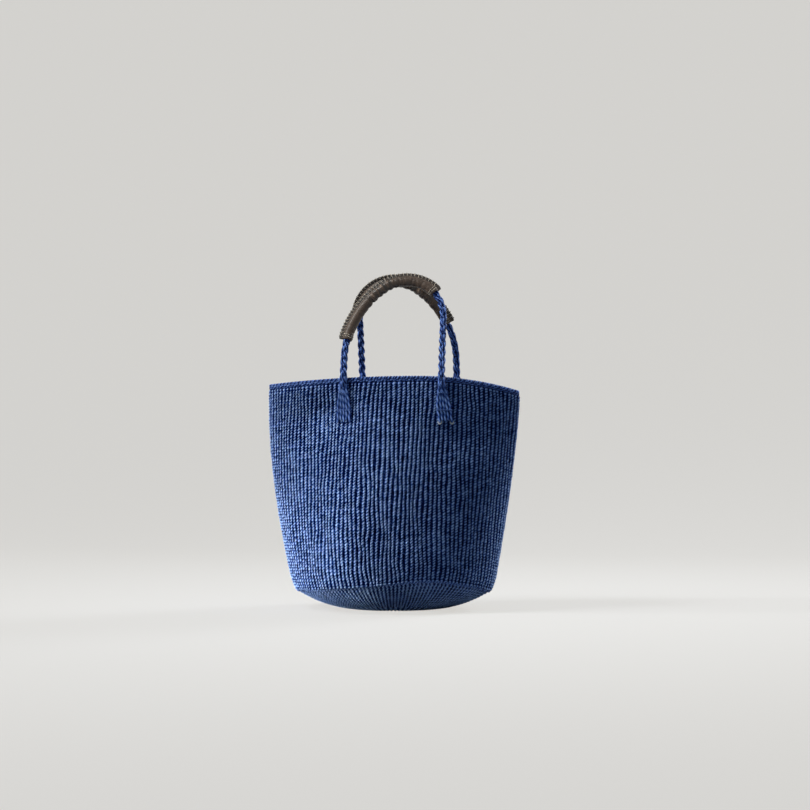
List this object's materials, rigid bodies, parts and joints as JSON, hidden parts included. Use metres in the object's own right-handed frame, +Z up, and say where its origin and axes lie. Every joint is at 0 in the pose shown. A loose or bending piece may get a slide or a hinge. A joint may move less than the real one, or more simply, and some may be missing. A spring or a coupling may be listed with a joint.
{
  "type": "woven tote bag",
  "caption": "Hand-woven sisal tote bag with an oval base, a lens-shaped open mouth, plaited rope handles that swing and leather grips with a whip-stitched seam.",
  "frame": {"origin": "on the floor under the middle of the base", "axes": "+Z up, +X to the right of the front, -Y towards the front"},
  "size_m": [0.3516, 0.196, 0.4635],
  "materials": {
    "sisal_weave": "dyed blue sisal, close twined weave with upright ribs",
    "sisal_plait": "dyed blue sisal, flat plait",
    "sisal_rope": "dyed blue sisal, plaited rope",
    "sisal_yarn": "dyed blue sisal, twisted yarn",
    "grip_leather": "soft grey-brown leather, waxed, creased",
    "pale_thread": "waxed pale thread"
  },
  "bodies": {
    "bag": {"woven_base": "sisal_weave", "woven_wall": "sisal_weave", "rim_plait": "sisal_plait", "front_left_fan": "sisal_rope", "front_right_fan": "sisal_rope", "rear_left_fan": "sisal_rope", "rear_right_fan": "sisal_rope", "front_left_lashing": "sisal_yarn", "front_right_lashing": "sisal_yarn", "rear_left_lashing": "sisal_yarn", "rear_right_lashing": "sisal_yarn"},
    "front_handle": {"front_rope": "sisal_rope", "front_grip": "grip_leather", "front_seam_thread": "pale_thread", "front_left_end_stitches": "pale_thread", "front_right_end_stitches": "pale_thread"},
    "rear_handle": {"rear_rope": "sisal_rope", "rear_grip": "grip_leather", "rear_seam_thread": "pale_thread", "rear_left_end_stitches": "pale_thread", "rear_right_end_stitches": "pale_thread"}
  },
  "joints": [
    {"name": "front_handle_swing", "type": "hinge", "parent": "bag", "child": "front_handle", "pos_m": [0.005, -0.05615, 0.319], "axis": [1, 0, 0], "range_deg": [0, 150]},
    {"name": "rear_handle_swing", "type": "hinge", "parent": "bag", "child": "rear_handle", "pos_m": [0.016, 0.05801, 0.319], "axis": [-1, 0, 0], "range_deg": [0, 150]}
  ]
}
